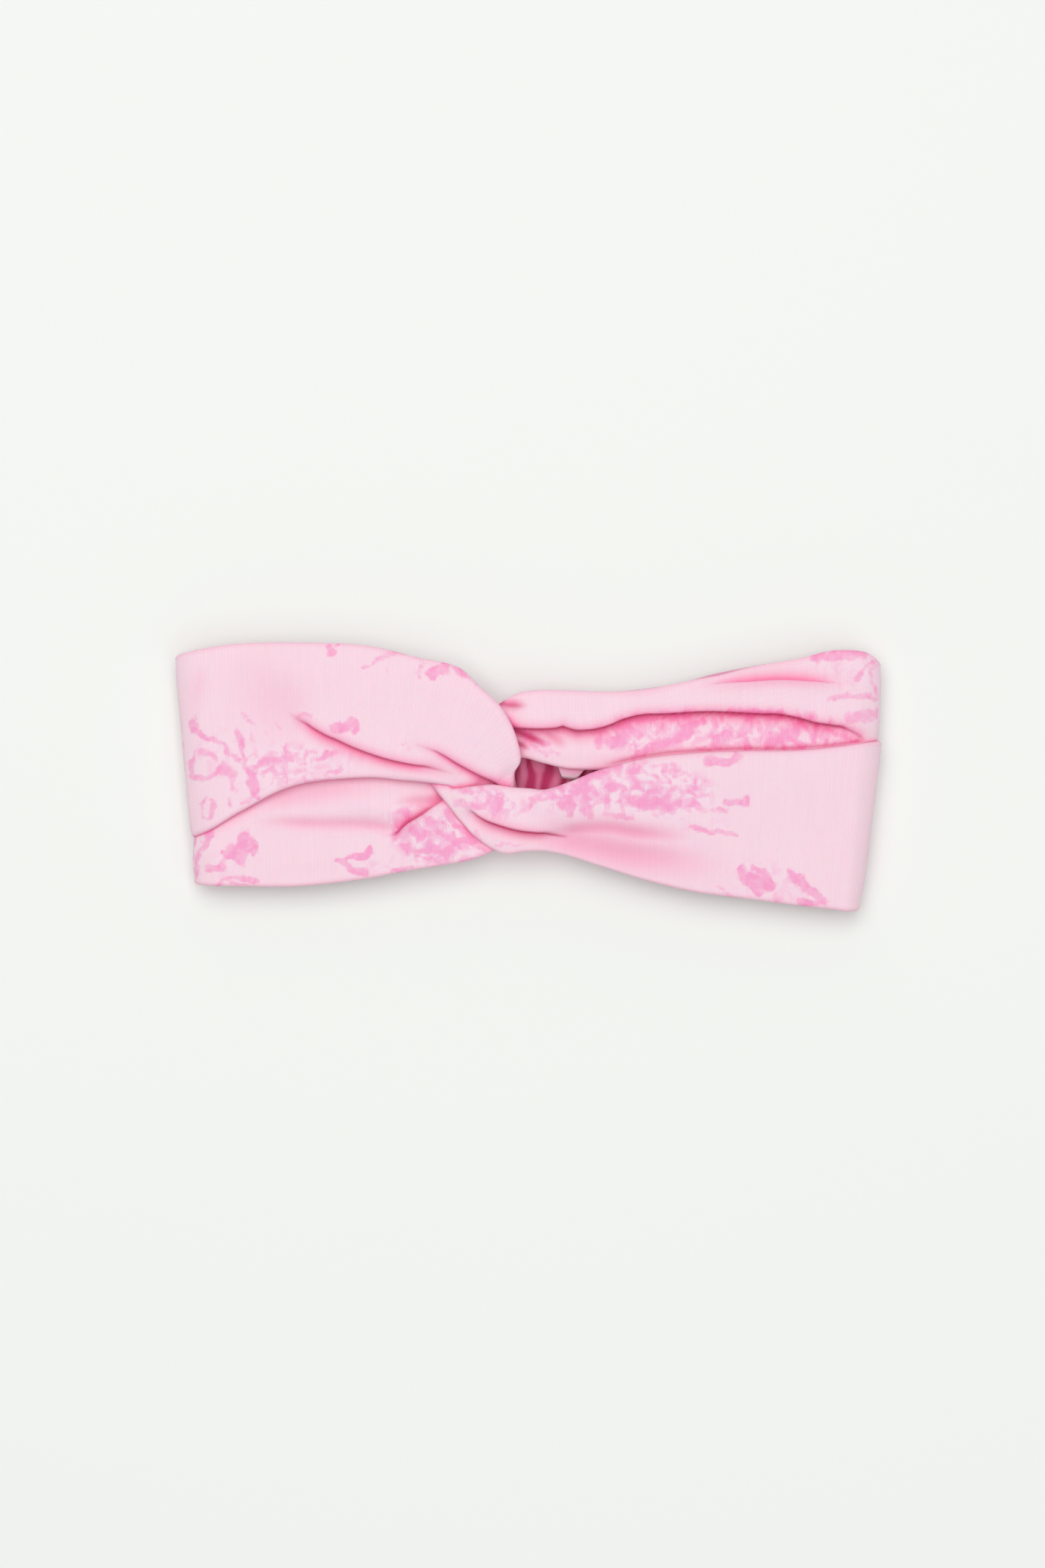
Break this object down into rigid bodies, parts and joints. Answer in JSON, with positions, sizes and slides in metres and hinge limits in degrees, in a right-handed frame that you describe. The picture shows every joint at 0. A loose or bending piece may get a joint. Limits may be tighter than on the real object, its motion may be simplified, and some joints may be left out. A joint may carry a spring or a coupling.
{
  "type": "sports headband",
  "caption": "Wide twist-front jersey headband laid flat: soft tubes linked at a front knot, closed behind by a gathered elastic panel.",
  "frame": {"origin": "centre of the flat-laid band's outline, on the surface that it lies on", "axes": "+X along the band to the right as seen from the front, +Y across the band towards the edge worn upwards, +Z out of the front of the twist"},
  "size_m": [0.2399, 0.0912, 0.0187],
  "materials": {
    "printed_jersey": "matt fine jersey in pale pink with a blotted flower print in stronger pink",
    "woven_elastic": "matt ribbed woven elastic, off-white",
    "sewing_thread": "spun polyester thread, pink",
    "label_satin": "white satin tape, no print"
  },
  "bodies": {
    "root": {"left_loop": "printed_jersey", "right_loop": "printed_jersey", "back_casing": "printed_jersey", "elastic_band": "woven_elastic", "left_join_thread": "sewing_thread", "right_join_thread": "sewing_thread", "upper_channel_thread": "sewing_thread", "lower_channel_thread": "sewing_thread", "care_label": "label_satin", "label_thread_left": "sewing_thread", "label_thread_right": "sewing_thread"}
  },
  "joints": []
}
